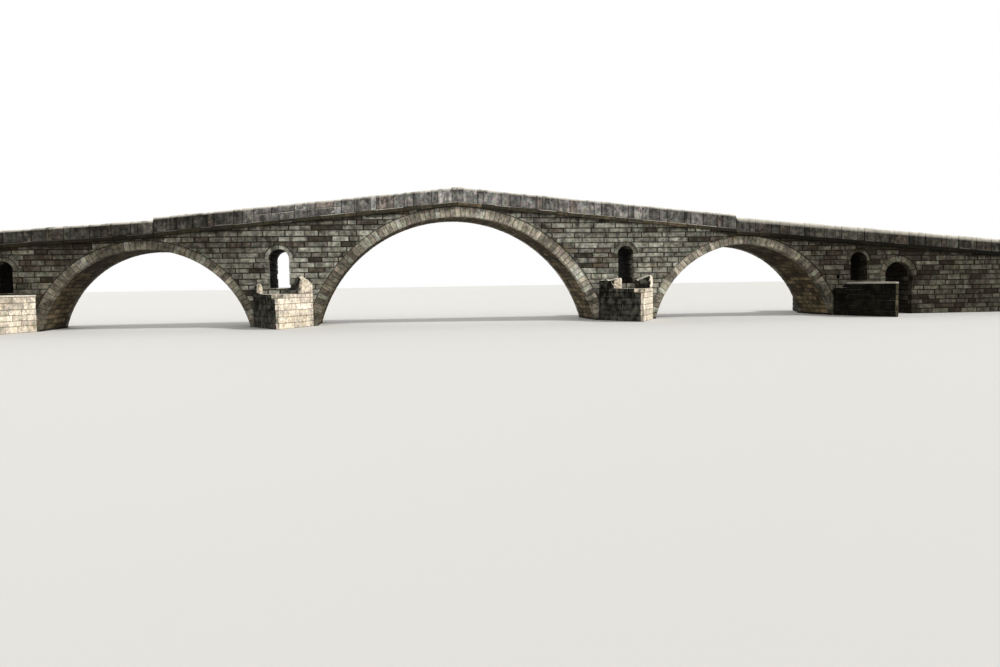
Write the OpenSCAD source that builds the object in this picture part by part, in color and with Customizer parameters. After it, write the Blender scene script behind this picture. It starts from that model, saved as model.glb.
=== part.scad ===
// Humped stone arch bridge of ashlar with five arches, as a 1:10 model in millimetres.
// X runs along the road, Y across it and Z up from the level where the piers meet the water.

/* [Overall] */
// Length of the bridge from one end of the road to the other
bridge_l = 10000; // [9400:50:10400]
// Width across the wall faces
wall_w = 558; // [500:2:640]

/* [Arches] */
// Clear span of the main arch
main_span = 2000; // [1900:10:2060]
// Height of the main arch's crown above the base
main_crown_z = 759; // [740:1:790]
// Clear span of each side arch
mid_span = 1380; // [1300:10:1420]
// Height of a side arch's crown above the base
mid_crown_z = 545; // [530:1:560]
// Clear span of each small end arch
end_span = 220; // [180:2:240]
// Height of an end arch's crown above the base
end_crown_z = 400; // [360:2:420]
// Height at which the main and side arches spring
spring_z = 10; // [5:1:20]

/* [Arch stones] */
// Depth of the main arch's ring, from soffit to back
main_ring_t = 70; // [55:1:80]
// Depth of a side arch's ring
mid_ring_t = 61; // [50:1:70]
// Depth of an end arch's ring
end_ring_t = 45; // [30:1:50]
// Depth of a window arch's ring
window_ring_t = 30; // [20:1:36]
// Number of curved stones in a window's ring
window_ring_n = 2; // [2:1:7]
// Length of a ring stone along the curve
ring_stone_w = 35; // [28:1:50]
// How far a face stone reaches into the wall
ring_stone_d = 60; // [40:1:90]
// How far a window's ring stone reaches into the wall
window_stone_d = 30; // [20:1:60]
// How far the face stones lie behind the wall face
ring_setback = 6; // [2:0.5:10]
// Open joint between two stones
joint = 0.8; // [0.6:0.1:1.5]
// Mortar bed where two pieces meet
bed = 0.3; // [0.2:0.05:0.5]

/* [Piers] */
// Width of each pier beside the main arch
inner_pier_w = 460; // [440:2:500]
// Width of each pier beside an end arch
outer_pier_w = 436; // [420:2:480]
// Width of the window through the right inner pier
inner_window_w = 116; // [90:2:130]
// Width of the window through the left inner pier
left_window_w = 138; // [110:2:150]
// How far the left inner window stands off its pier's middle, away from the main arch
left_window_off = 23; // [0:1:30]
// Sill height of the windows through the inner piers
inner_sill_z = 270; // [262:1:300]
// Top of the windows through the inner piers
inner_window_top_z = 539; // [500:1:550]
// Width of the window through an outer pier
outer_window_w = 134; // [100:2:140]
// Sill height of the window through an outer pier
outer_sill_z = 262; // [256:1:290]
// Top of the window through an outer pier
outer_window_top_z = 475; // [440:1:480]
// Width of the square putlog hole left open beside the right outer window
putlog_w = 24; // [15:1:30]
// Depth of the putlog hole
putlog_d = 60; // [30:5:100]
// Distance of the putlog hole's centre from the window's centre
putlog_x = 168; // [120:1:190]
// Height of the putlog hole's centre
putlog_z = 290; // [270:1:330]

/* [Cutwaters] */
// Width of a cutwater where it meets its pier
cutwater_w = 410; // [380:2:430]
// How far an inner cutwater reaches out from the wall
inner_cutwater_l = 400; // [350:5:450]
// How far an outer cutwater reaches out from the wall
outer_cutwater_l = 500; // [430:5:550]
// Height of an inner cutwater
inner_cutwater_h = 230; // [200:1:250]
// Height of an outer cutwater, its coping included
outer_cutwater_h = 250; // [220:1:254]
// Width of the blunt nose of a cutwater
nose_w = 24; // [10:1:40]
// Thickness of the coping on a whole cutwater
coping_t = 14; // [8:1:20]
// How far the coping projects from the cutwater
coping_out = 4; // [2:1:8]
// Height lost from the broken corner of a cutwater
broken_h = 42; // [30:1:60]
// Width of the broken corner at its foot
broken_w = 70; // [40:1:100]

/* [Broken caps] */
// Greatest height left of the caps that once covered the front inner cutwaters
cap_h = 135; // [100:1:150]
// How far the remains reach out from the wall
cap_d = 130; // [80:5:180]
// Distance between the remains on the two sides of the right inner window
cap_gap = 132; // [120:1:170]
// Distance between the remains on the two sides of the left inner window
left_cap_gap = 228; // [200:2:240]
// Length of the stone missing at the nose of a front inner cutwater
nose_lost_l = 55; // [30:1:80]
// Height of the stone missing at the nose
nose_lost_h = 28; // [15:1:40]

/* [Road line] */
// Angle at which the road falls from the apex over the main arch, in degrees
hump_angle = 5.6; // [5.1:0.1:5.9]
// Angle at which the right ramp falls, in degrees
right_ramp_angle = 4.75; // [4:0.05:5.2]
// Angle at which the left ramp falls, in degrees
left_ramp_angle = 3.7; // [3.4:0.05:4.6]
// Distance from the middle to the step between hump and ramp
step_x = 2080; // [2040:5:2120]
// Least thickness of masonry between a ring and the cornice
crown_bed = 2; // [1:0.5:6]
// Least thickness of masonry between the left side arch's ring and the cornice
left_crown_bed = 13; // [1:0.5:16]
// Thickness of the cornice
cornice_t = 27; // [20:1:35]
// How far the cornice projects from the wall
cornice_out = 14; // [6:1:20]
// How far the cornice reaches in from the wall face
cornice_in = 45; // [42:1:60]
// Average length of a cornice stone
cornice_stone_l = 140; // [100:5:200]
// Thickness of the road paving
road_t = 24; // [16:1:27]

/* [Parapet] */
// Height of the parapet slabs on the hump
hump_parapet_h = 102; // [85:1:120]
// Height of the parapet slabs on the right ramp
right_parapet_h = 100; // [75:1:110]
// Height of the parapet slabs on the left ramp
left_parapet_h = 91; // [75:1:110]
// Thickness of the parapet slabs
parapet_t = 38; // [30:1:41]
// Radius to which the long top edges of the slabs are worn
parapet_round = 12; // [4:1:14]
// Average length of a parapet slab
slab_l = 85; // [70:5:140]
// Length of the slab that stands over the apex
apex_slab_l = 80; // [60:5:120]
// How much higher the slab over the apex stands
apex_slab_up = 6; // [0:1:10]
// How much the slabs differ in height
slab_uneven = 1.6; // [0:0.2:3]
// Where the stretch rebuilt in two courses begins, from the middle to the left
rebuilt_from = 780; // [600:10:900]
// Where the stretch rebuilt in two courses ends
rebuilt_to = 1480; // [1200:10:1700]
// Width of the square drain hole through the front parapet, left of the middle
drain_w = 15; // [10:1:20]
// Distance of the drain hole's centre from the middle
drain_x = 875; // [700:5:1500]
// Height of the drain hole's centre above the cornice
drain_up = 24; // [15:1:40]

/* [Hidden] */
$fn = 180;

// Places along the bridge
end_x = bridge_l / 2;
inner_pier_x = main_span / 2 + inner_pier_w / 2;
mid_x = main_span / 2 + inner_pier_w + mid_span / 2;
outer_pier_x = mid_x + mid_span / 2 + outer_pier_w / 2;
end_arch_x = outer_pier_x + outer_pier_w / 2 + end_span / 2;
wall_y = wall_w / 2;
ring_y = wall_y - ring_setback;
// How far a cutting shape runs past what it cuts
past = 1;

// Radius of an arc with this span and rise
function arc_r(span, rise) = (span * span / 4 + rise * rise) / (2 * rise);
// An arch is its span, springing height, crown height and ring depth
main_arch = [main_span, spring_z, main_crown_z, main_ring_t];
mid_arch = [mid_span, spring_z, mid_crown_z, mid_ring_t];
end_arch = [end_span, end_crown_z - end_span / 2, end_crown_z, end_ring_t];
// A round-headed window as an arch, from its width and top
function window_arch(w, top_z) = [w, top_z - w / 2, top_z, window_ring_t];
inner_window = window_arch(inner_window_w, inner_window_top_z);
left_window = window_arch(left_window_w, inner_window_top_z);
outer_window = window_arch(outer_window_w, outer_window_top_z);
left_window_x = inner_pier_x + left_window_off;
function arch_r(arch) = arc_r(arch[0], arch[2] - arch[1]);
function arch_z(arch) = arch[2] - arch_r(arch);
function arch_back_r(arch) = arch_r(arch) + arch[3];
function half_angle(arch) = asin(min(1, arch[0] / 2 / arch_r(arch)));

// The beds of the cornice are tangent to the backs of the arches, with crown_bed between
hump_top_z = arch_z(main_arch) + (arch_back_r(main_arch) + crown_bed) / cos(hump_angle);
function hump_z(x) = hump_top_z - x * tan(hump_angle);
// A ramp is its angle, the least masonry over its side arch's ring and the height of its slabs
right_ramp = [right_ramp_angle, crown_bed, right_parapet_h];
left_ramp = [left_ramp_angle, left_crown_bed, left_parapet_h];
function ramp_mid_z(ramp) = arch_z(mid_arch) + (arch_back_r(mid_arch) + ramp[1]) / cos(ramp[0]);
function ramp_z(ramp, x) = ramp_mid_z(ramp) - (x - mid_x) * tan(ramp[0]);

// Extrudes an outline drawn in X and Z along Y, from y to y + depth
module along_y(y, depth) {
    translate([0, y + depth, 0]) rotate([90, 0, 0]) linear_extrude(depth) children();
}
module across(w) {
    along_y(-w / 2, w) children();
}
// Puts the children on both sides of the road
module both_faces() {
    children();
    mirror([0, 1, 0]) children();
}

// The part of the plane above an arch's two springing beds
module above_beds(arch) {
    reach = 2 * arch_back_r(arch);
    a = half_angle(arch);
    translate([0, arch_z(arch)]) polygon([
        [0, 0], [reach * sin(a), reach * cos(a)], [reach * sin(a), reach],
        [-reach * sin(a), reach], [-reach * sin(a), reach * cos(a)]
    ]);
}
// What an arch takes out of the masonry down to this level, its ring included
module arch_space(arch, foot_z) {
    intersection() {
        translate([0, arch_z(arch)]) circle(arch_back_r(arch) + bed);
        above_beds(arch);
    }
    translate([-arch[0] / 2, foot_z]) square([arch[0], arch[1] - foot_z]);
}
module arch_opening(arch, foot_z) {
    intersection() {
        translate([0, arch_z(arch)]) circle(arch_r(arch));
        above_beds(arch);
    }
    translate([-arch[0] / 2, foot_z]) square([arch[0], arch[1] - foot_z]);
}

// The vault behind the face stones
module barrel(arch) {
    color("peru") across(wall_w - 2 * (ring_setback + ring_stone_d + bed)) intersection() {
        translate([0, arch_z(arch)]) difference() {
            circle(arch_back_r(arch));
            circle(arch_r(arch));
        }
        above_beds(arch);
    }
}
// The n stones of a ring on one face, cut to the curve, with open joints between them
module ring_stones(arch, n, y, depth) {
    a = half_angle(arch);
    gap_a = joint / 2 / arch_r(arch) * 180 / PI;
    reach = 2 * arch_back_r(arch);
    along_y(y, depth) translate([0, arch_z(arch)]) intersection() {
        difference() {
            circle(arch_back_r(arch));
            circle(arch_r(arch));
        }
        for (i = [0:n - 1]) {
            a0 = -a + 2 * a * i / n + gap_a;
            a1 = -a + 2 * a * (i + 1) / n - gap_a;
            polygon([[0, 0], [reach * sin(a0), reach * cos(a0)], [reach * sin(a1), reach * cos(a1)]]);
        }
    }
}
// An odd number of stones, so that a keystone closes the crown
function voussoir_count(arch) =
    2 * floor(half_angle(arch) / 180 * PI * arch_r(arch) / ring_stone_w) + 1;
module face_rings(arch) {
    color("linen") both_faces() ring_stones(arch, voussoir_count(arch), -ring_y, ring_stone_d);
}
module window_rings(arch) {
    color("linen") both_faces() ring_stones(arch, window_ring_n, -ring_y, window_stone_d);
}

// Outline of the masonry from x0 to x1, under the cornice
module wall_outline(ramp, x0, x1) {
    on_ramp = [[x1, ramp_z(ramp, x1)], [max(x0, step_x), ramp_z(ramp, max(x0, step_x))]];
    on_hump = x0 < step_x ? [[step_x, hump_z(step_x)], [x0, hump_z(x0)]] : [];
    polygon(concat([[x0, 0], [x1, 0]], on_ramp, on_hump));
}
// Pockets for the ring stones of a window, in both faces
module window_pockets(arch, x) {
    pocket_d = ring_setback + window_stone_d + bed;
    both_faces() along_y(-wall_y - past, pocket_d + past) translate([x, 0]) intersection() {
        translate([0, arch_z(arch)]) circle(arch_back_r(arch) + bed);
        above_beds(arch);
    }
}
// Pier with the spandrels over it, between the crowns of its two arches, and a window at window_x
module pier(ramp, x0, arch0, x1, arch1, window, window_x, sill_z) {
    color("tan") difference() {
        across(wall_w) difference() {
            wall_outline(ramp, x0, x1);
            translate([x0, 0]) arch_space(arch0, -past);
            translate([x1, 0]) arch_space(arch1, -past);
            translate([window_x, 0]) arch_opening(window, sill_z);
        }
        window_pockets(window, window_x);
    }
}
module inner_pier(ramp, window, window_x) {
    pier(ramp, 0, main_arch, mid_x, mid_arch, window, window_x, inner_sill_z);
}
module outer_pier(ramp) {
    pier(ramp, mid_x, mid_arch, end_arch_x, end_arch, outer_window, outer_pier_x, outer_sill_z);
}
module right_outer_pier() {
    color("tan") difference() {
        outer_pier(right_ramp);
        along_y(-wall_y - past, putlog_d + past)
            translate([outer_pier_x - putlog_x, putlog_z]) square(putlog_w, center = true);
    }
}
module abutment(ramp) {
    color("tan") across(wall_w) difference() {
        wall_outline(ramp, end_arch_x, end_x);
        translate([end_arch_x, 0]) arch_space(end_arch, -past);
    }
}

// Plan of a pointed cutwater with a blunt nose, grown by this much on its free sides
module cutwater_plan(l, grow) {
    w = cutwater_w + 2 * grow;
    polygon([[-w / 2, 0], [-nose_w / 2, -l - grow], [nose_w / 2, -l - grow], [w / 2, 0]]);
}
module cutwater_body(x, l, h) {
    translate([x, -wall_y, 0]) linear_extrude(h) cutwater_plan(l, 0);
}
module whole_cutwater(x, l, h) {
    color("wheat") {
        cutwater_body(x, l, h - coping_t);
        translate([x, -wall_y, h - coping_t]) linear_extrude(coping_t) cutwater_plan(l, coping_out);
    }
}
// The inner cutwaters have lost their coping at the front, and the top stone of their nose
module bare_inner_cutwater() {
    color("wheat") difference() {
        cutwater_body(inner_pier_x, inner_cutwater_l, inner_cutwater_h);
        translate([inner_pier_x - nose_lost_l, -wall_y - inner_cutwater_l - past,
            inner_cutwater_h - nose_lost_h])
            cube([2 * nose_lost_l, nose_lost_l + past, nose_lost_h + past]);
    }
}
module inner_cutwater() {
    whole_cutwater(inner_pier_x, inner_cutwater_l, inner_cutwater_h);
}
module outer_cutwater() {
    whole_cutwater(outer_pier_x, outer_cutwater_l, outer_cutwater_h);
}
// The corner toward the side arch is broken off
module broken_outer_cutwater() {
    side = cutwater_w / 2 + coping_out;
    color("wheat") difference() {
        outer_cutwater();
        translate([outer_pier_x, 0, outer_cutwater_h])
            along_y(-wall_y - outer_cutwater_l, outer_cutwater_l + past)
            polygon([
                [-side - past, -broken_h], [-side + broken_w, -broken_h],
                [-side + broken_w + broken_h, past], [-side - past, past]
            ]);
    }
}
// What is left of a cap from x0 to x1, rising from h0 over a peak at x_peak to h1, cut to the plan
module cap_remnant(pier_x, x0, h0, x_peak, h_peak, x1, h1) {
    intersection() {
        translate([pier_x, 0, inner_cutwater_h]) along_y(-wall_y - cap_d, cap_d)
            polygon([[x0, 0], [x1, 0], [x1, h1], [x_peak, h_peak], [x0, h0]]);
        cutwater_body(pier_x, inner_cutwater_l, inner_cutwater_h + cap_h);
    }
}
cap_side = cutwater_w / 2;
module cap_remains_left() {
    color("bisque") {
        cap_remnant(
            -inner_pier_x, -0.9 * cap_side, 0.46 * cap_h, -0.8 * cap_side, 0.56 * cap_h,
            -left_window_off - left_cap_gap / 2, 0.52 * cap_h
        );
        cap_remnant(
            -inner_pier_x, -left_window_off + left_cap_gap / 2, 0.67 * cap_h, 0.62 * cap_side, cap_h,
            cap_side, 0.45 * cap_h
        );
    }
}
module cap_remains_right() {
    color("bisque") {
        cap_remnant(
            inner_pier_x, -cap_side, 0.46 * cap_h, -0.5 * cap_side, 0.5 * cap_h,
            -cap_gap / 2, 0.58 * cap_h
        );
        cap_remnant(
            inner_pier_x, cap_gap / 2, 0.44 * cap_h, 0.75 * cap_side, 0.7 * cap_h,
            cap_side, 0.68 * cap_h
        );
    }
}

// Strip that follows the hump from x0 to x1, from z0 to z1 above the cornice's bed
module hump_strip(x0, x1, z0, z1) {
    polygon([
        [x0, hump_z(x0) + z0], [x1, hump_z(x1) + z0], [x1, hump_z(x1) + z1], [x0, hump_z(x0) + z1]
    ]);
}
module ramp_strip(ramp, x0, x1, z0, z1) {
    polygon([
        [x0, ramp_z(ramp, x0) + z0], [x1, ramp_z(ramp, x1) + z0],
        [x1, ramp_z(ramp, x1) + z1], [x0, ramp_z(ramp, x0) + z1]
    ]);
}
module both_ways() {
    children();
    mirror([1, 0, 0]) children();
}
// Edge of stone i out of n between x0 and x1: a joint shifts by up to this share of a stone
joint_shift = 0.28;
function stone_edge(x0, x1, i, n, turn) =
    x0 + (x1 - x0) * (i + (i > 0 && i < n ? joint_shift * sin(turn * i) : 0)) / n;
function stone_count(x0, x1, l) = round((x1 - x0) / l);
// Angles by which one stone after another differs in length and in height
slab_turn = 137;
cornice_turn = 101;
height_turn = 71;

module cornice_course(depth) {
    along_y(-wall_y - cornice_out, depth) children();
}
module cornice_hump() {
    n = stone_count(0, step_x, cornice_stone_l);
    color("burlywood") both_faces() both_ways() cornice_course(cornice_out + cornice_in)
        for (i = [0:n - 1])
            hump_strip(
                stone_edge(0, step_x, i, n, cornice_turn) + joint / 2,
                stone_edge(0, step_x, i + 1, n, cornice_turn) - joint / 2, 0, cornice_t
            );
}
module cornice_ramp(ramp) {
    n = stone_count(step_x, end_x, cornice_stone_l);
    color("burlywood") both_faces() cornice_course(cornice_out + cornice_in)
        for (i = [0:n - 1])
            ramp_strip(
                ramp,
                stone_edge(step_x, end_x, i, n, cornice_turn) + joint / 2,
                stone_edge(step_x, end_x, i + 1, n, cornice_turn) - (i < n - 1 ? joint / 2 : 0),
                0, cornice_t
            );
}
road_w = wall_w - 2 * (cornice_in + bed);
module road_hump() {
    color("gray") both_ways() across(road_w) hump_strip(joint / 2, step_x, 0, road_t);
}
module road_ramp(ramp) {
    color("gray") across(road_w) ramp_strip(ramp, step_x, end_x, 0, road_t);
}

// Cross-section of the parapet under its worn top at zero, of this height
module parapet_section(h) {
    flat = parapet_t / 2 - parapet_round;
    translate([-parapet_t / 2, -h]) square([parapet_t, h - parapet_round]);
    translate([-flat, -h]) square([2 * flat, h]);
    for (y = [-flat, flat])
        translate([y, -parapet_round]) circle(parapet_round);
}
// Slab of this height at most, from x0 to x1, whose top falls from z at x0 at this angle.
// The children are its outline, which reaches past the top.
module worn_slab(x0, x1, z, angle, h) {
    intersection() {
        along_y(-wall_y - past, parapet_t + 2 * past) children();
        translate([x0, -wall_y + parapet_t / 2, z]) rotate([0, angle, 0])
            translate([-past, 0, 0]) rotate([90, 0, 90]) linear_extrude(x1 - x0 + h) parapet_section(2 * h);
    }
}
module hump_slab(x0, x1, foot, top) {
    worn_slab(x0, x1, hump_z(x0) + top, hump_angle, hump_parapet_h) hump_strip(x0, x1, foot, top + past);
}
// One side of the hump's parapet, with two courses between rebuilt_from and rebuilt_to if rebuilt
module hump_slabs(rebuilt) {
    start = apex_slab_l / 2;
    n = stone_count(start, step_x, slab_l);
    middle = cornice_t + hump_parapet_h / 2;
    for (i = [0:n - 1]) {
        x0 = stone_edge(start, step_x, i, n, slab_turn) + joint / 2;
        x1 = stone_edge(start, step_x, i + 1, n, slab_turn) - joint / 2;
        top = cornice_t + hump_parapet_h + slab_uneven * sin(height_turn * i);
        if (rebuilt && x0 > rebuilt_from && x1 < rebuilt_to) {
            along_y(-wall_y, parapet_t) hump_strip(x0, x1, cornice_t, middle - joint / 2);
            hump_slab(x0, x1, middle + joint / 2, top);
        } else {
            hump_slab(x0, x1, cornice_t, top);
        }
    }
}
module apex_slab() {
    both_ways()
        hump_slab(0, apex_slab_l / 2 - joint / 2, cornice_t, cornice_t + hump_parapet_h + apex_slab_up);
}
module parapet_hump(rebuilt) {
    color("dimgray") {
        apex_slab();
        hump_slabs(false);
        mirror([1, 0, 0]) hump_slabs(rebuilt);
    }
}
module front_parapet_hump() {
    color("dimgray") difference() {
        parapet_hump(true);
        translate([-drain_x, -wall_y, hump_z(drain_x) + cornice_t + drain_up])
            cube([drain_w, 3 * parapet_t, drain_w], center = true);
    }
}
module parapet_ramp(ramp) {
    n = stone_count(step_x, end_x, slab_l);
    color("dimgray") for (i = [0:n - 1]) {
        x0 = stone_edge(step_x, end_x, i, n, slab_turn) + joint / 2;
        x1 = stone_edge(step_x, end_x, i + 1, n, slab_turn) - (i < n - 1 ? joint / 2 : 0);
        top = cornice_t + ramp[2] + slab_uneven * sin(height_turn * i);
        worn_slab(x0, x1, ramp_z(ramp, x0) + top, ramp[0], ramp[2])
            ramp_strip(ramp, x0, x1, cornice_t, top + past);
    }
}

module left_side() {
    mirror([1, 0, 0]) children();
}
module left_inner_pier() {
    left_side() inner_pier(left_ramp, left_window, left_window_x);
}
module at_x(x) {
    translate([x, 0, 0]) children();
}
module back_side() {
    mirror([0, 1, 0]) children();
}

left_side() outer_pier(left_ramp);  // pier_left_outer
left_inner_pier();  // pier_left_inner
inner_pier(right_ramp, inner_window, inner_pier_x);  // pier_right_inner
right_outer_pier();  // pier_right_outer
left_side() abutment(left_ramp);  // abutment_left
abutment(right_ramp);  // abutment_right
barrel(main_arch);  // main_arch_barrel
at_x(-mid_x) barrel(mid_arch);  // left_arch_barrel
at_x(mid_x) barrel(mid_arch);  // right_arch_barrel
at_x(-end_arch_x) barrel(end_arch);  // left_end_barrel
at_x(end_arch_x) barrel(end_arch);  // right_end_barrel
face_rings(main_arch);  // main_arch_ring
at_x(-mid_x) face_rings(mid_arch);  // left_arch_ring
at_x(mid_x) face_rings(mid_arch);  // right_arch_ring
at_x(-end_arch_x) face_rings(end_arch);  // left_end_ring
at_x(end_arch_x) face_rings(end_arch);  // right_end_ring
at_x(-outer_pier_x) window_rings(outer_window);  // window_ring_left_outer
at_x(-left_window_x) window_rings(left_window);  // window_ring_left_inner
at_x(inner_pier_x) window_rings(inner_window);  // window_ring_right_inner
at_x(outer_pier_x) window_rings(outer_window);  // window_ring_right_outer
left_side() outer_cutwater();  // cutwater_front_left_outer
left_side() bare_inner_cutwater();  // cutwater_front_left_inner
bare_inner_cutwater();  // cutwater_front_right_inner
broken_outer_cutwater();  // cutwater_front_right_outer
back_side() left_side() outer_cutwater();  // cutwater_back_left_outer
back_side() left_side() inner_cutwater();  // cutwater_back_left_inner
back_side() inner_cutwater();  // cutwater_back_right_inner
back_side() outer_cutwater();  // cutwater_back_right_outer
cap_remains_left();
cap_remains_right();
left_side() cornice_ramp(left_ramp);  // cornice_left_ramp
cornice_hump();
cornice_ramp(right_ramp);  // cornice_right_ramp
left_side() parapet_ramp(left_ramp);  // parapet_front_left_ramp
front_parapet_hump();  // parapet_front_hump
parapet_ramp(right_ramp);  // parapet_front_right_ramp
back_side() left_side() parapet_ramp(left_ramp);  // parapet_back_left_ramp
back_side() parapet_hump(false);  // parapet_back_hump
back_side() parapet_ramp(right_ramp);  // parapet_back_right_ramp
left_side() road_ramp(left_ramp);  // road_left_ramp
road_hump();
road_ramp(right_ramp);  // road_right_ramp
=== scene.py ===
import math
from contextlib import contextmanager

import bmesh
import bpy
import numpy as np
from bpy.props import FloatProperty, FloatVectorProperty, IntProperty, PointerProperty
from bpy.types import Operator, Panel, PropertyGroup
from mathutils import Matrix, Vector, noise
from mathutils.bvhtree import BVHTree


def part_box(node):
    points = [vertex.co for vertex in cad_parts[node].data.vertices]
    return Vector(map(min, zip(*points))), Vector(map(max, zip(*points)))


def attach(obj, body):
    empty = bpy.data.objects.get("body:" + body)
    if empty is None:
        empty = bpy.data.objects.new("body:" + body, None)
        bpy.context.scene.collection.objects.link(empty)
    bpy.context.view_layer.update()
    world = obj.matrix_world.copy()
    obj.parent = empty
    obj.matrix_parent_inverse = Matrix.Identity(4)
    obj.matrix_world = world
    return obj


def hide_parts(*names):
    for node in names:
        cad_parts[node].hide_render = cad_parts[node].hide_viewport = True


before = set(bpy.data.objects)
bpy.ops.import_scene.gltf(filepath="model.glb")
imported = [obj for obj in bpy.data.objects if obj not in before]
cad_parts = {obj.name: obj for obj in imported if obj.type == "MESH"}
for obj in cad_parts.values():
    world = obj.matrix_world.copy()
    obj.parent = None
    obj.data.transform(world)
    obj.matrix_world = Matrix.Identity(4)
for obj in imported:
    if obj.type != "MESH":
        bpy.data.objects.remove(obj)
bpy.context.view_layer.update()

bl_info = {
    "name": "Humped Stone Bridge",
    "version": (1, 0, 0),
    "blender": (4, 5, 0),
    "location": "3D View > Sidebar > Bridge",
    "description": "Lays the ashlar, vault stones, slabs and paving of a humped stone arch bridge",
    "category": "Add Mesh",
}

# The nodes of the masonry, by kind. Walls come with the ring of the window in them.
ARCHES = ("main_arch", "left_arch", "right_arch", "left_end", "right_end")
PIERS = ("left_outer", "left_inner", "right_inner", "right_outer")
RUNS = ("left_ramp", "hump", "right_ramp")
FACES = ("front", "back")
WALL_NODES = {f"pier_{pier}": f"window_ring_{pier}" for pier in PIERS}
WALL_NODES.update(abutment_left=None, abutment_right=None)
ARCH_RINGS = [f"{arch}_ring" for arch in ARCHES]
WINDOW_RINGS = [ring for ring in WALL_NODES.values() if ring]
BARRELS = [f"{arch}_barrel" for arch in ARCHES]
CUTWATER_NODES = [
    f"cutwater_{face}_{side}_{place}"
    for face in FACES for side in ("left", "right") for place in ("inner", "outer")
]
CORNICE_NODES = [f"cornice_{run}" for run in RUNS]
PARAPET_NODES = [f"parapet_{face}_{run}" for face in FACES for run in RUNS]
ROAD_NODES = [f"road_{run}" for run in RUNS]
# Each with the share of its width that the sun reaches
CAP_NODES = {"cap_remains_left": 0.68, "cap_remains_right": 0.37}
# Places of the masonry, read from the frame
WALL_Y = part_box("abutment_right")[1].y
END_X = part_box("abutment_right")[1].x
ROAD_BED_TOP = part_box("cornice_hump")[1].z
# Two points this close are the same place, and corners of loose triangles this close are merged
TINY, MERGE = 0.0005, 0.000002
# A face looks along an axis when its normal's share there is over the first, and lies along the
# axis when that is under the second
FLAT, SQUARE = 0.999, 0.01


def length(name, default, text):
    """A size in metres that a user may change."""
    return FloatProperty(name=name, description=text, default=default, unit="LENGTH", precision=4)


def colour(name, default, text):
    """A colour given as sRGB hex, kept linear."""
    return FloatVectorProperty(
        name=name, description=text, default=linear(default), size=3, subtype="COLOR", min=0, max=1
    )


def turn(name, degrees, text):
    """An angle, given in degrees."""
    return FloatProperty(name=name, description=text, default=math.radians(degrees), unit="ROTATION")


def linear(hexa):
    """Linear RGB of an sRGB hex value."""
    values = [int(hexa[i:i + 2], 16) / 255 for i in (1, 3, 5)]
    return tuple(v / 12.92 if v <= 0.04045 else ((v + 0.055) / 1.055) ** 2.4 for v in values)


class MasonrySettings(PropertyGroup):
    course_h: length("Course height", 0.037, "Average height of a course of ashlar")
    stone_l: length("Stone length", 0.105, "Average length of an ashlar stone")
    stone_d: length("Stone depth", 0.050, "How far an ashlar stone reaches into the wall")
    joint: length("Joint", 0.0030, "Width of the worn joint between two stones")
    joint_d: length("Joint depth", 0.0070, "How far the mortar lies behind the face")
    wear: length("Worn edge", 0.0016, "Width of the worn edge round a stone")
    # The rim paints dirt and shade along the joints
    rim: length("Dirt and shade rim", 0.0030, "Width of the dirty rim inside a stone's worn edge")
    crown: length("Crown", 0.0005, "How far a stone's face stands out inside its rim")
    set_back: length("Set-back", 0.0024, "How far a stone may lie behind its neighbours")
    back_joint: length("Ring joint", 0.0030, "Width of the joint between a ring's back and the wall")
    vault_course: length("Vault course", 0.035, "Width of a course of vault stones round the curve")
    vault_l: length("Vault stone length", 0.085, "Average length of a vault stone along the vault")
    paving_l: length("Paving length", 0.060, "Average length of a paving stone along the road")
    paving_w: length("Paving width", 0.062, "Average width of a paving stone")
    paving_d: length("Paving depth", 0.012, "Thickness of the paving stones")
    rubble: length("Rubble", 0.0055, "Size of the facets of broken masonry")
    seed: IntProperty(name="Seed", description="Seed of the stones' unevenness", default=11)


class StoneColours(PropertyGroup):
    ashlar: colour("Ashlar", "#c5c4b4", "Weathered grey limestone of the walls")
    ashlar_warm: colour("Warm ashlar", "#867e72", "Brown and pinkish stones among the grey")
    ashlar_dark: colour("Dark ashlar", "#565449", "Damp and sooty stones")
    ring: colour("Arch stone", "#a69f8e", "Beige stone of the arch rings")
    soffit: colour("Vault stone", "#75684f", "Brown damp stone under the arches")
    cornice: colour("Cornice", "#786b52", "Stained stone of the cornice")
    parapet: colour("Parapet", "#888581", "Blue-grey stone of the parapet slabs")
    parapet_warm: colour("Warm parapet", "#8a8079", "Pinkish slabs among the blue-grey")
    paving: colour("Paving", "#8b857a", "Trodden limestone of the road")
    cutwater: colour("Cutwater", "#dccfbb", "Cream limestone of the cutwaters")
    mortar: colour("Mortar", "#211e18", "Deep joint with old mortar, soil and shade")
    # Paints sunlight on the mortar of faces toward the sun
    lime: colour("Sunlit lime", "#b3a48d", "Mortar of the flanks that face the sun")
    crust: colour("Black crust", "#2a2923", "Black lichen and soot")
    # Also paints the deepest shade on what faces away from the sun
    soot_and_shade: colour("Deep crust", "#12120d", "Thick crust on what never sees the sun")
    grey_crust: colour("Grey crust", "#5a5950", "Crust that the rain has washed thin")
    wash: colour("Ochre wash", "#d9c193", "Soil and ochre washed out of the joints")
    moss: colour("Moss", "#4b4a2c", "Dry moss and brown algae")
    # Tints the damp foot of the walls, and paints shade with damp at both ends of the bridge
    damp: colour("Damp", "#5a5743", "Tint that damp stone takes on")
    shade: colour("Shade", "#1d140a", "Brown stone that daylight hardly reaches")
    # Also paints sunlight on what looks up, on parapet crests, cornice edges and copings
    lichen: colour("Pale lichen", "#d6d0c2", "Pale lichen and bleached stone on what faces the sky")


# The master stone and the laying of its copies

MASTER_SIZE = 0.02
# Shares of the average: course heights, beds, and the shortest, commonest and longest stone
COURSE_SPREAD, BED_SPREAD, STONE_SPREAD = (0.86, 1.14), (0.7, 1.3), (0.5, 0.8, 2.0)
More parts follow.
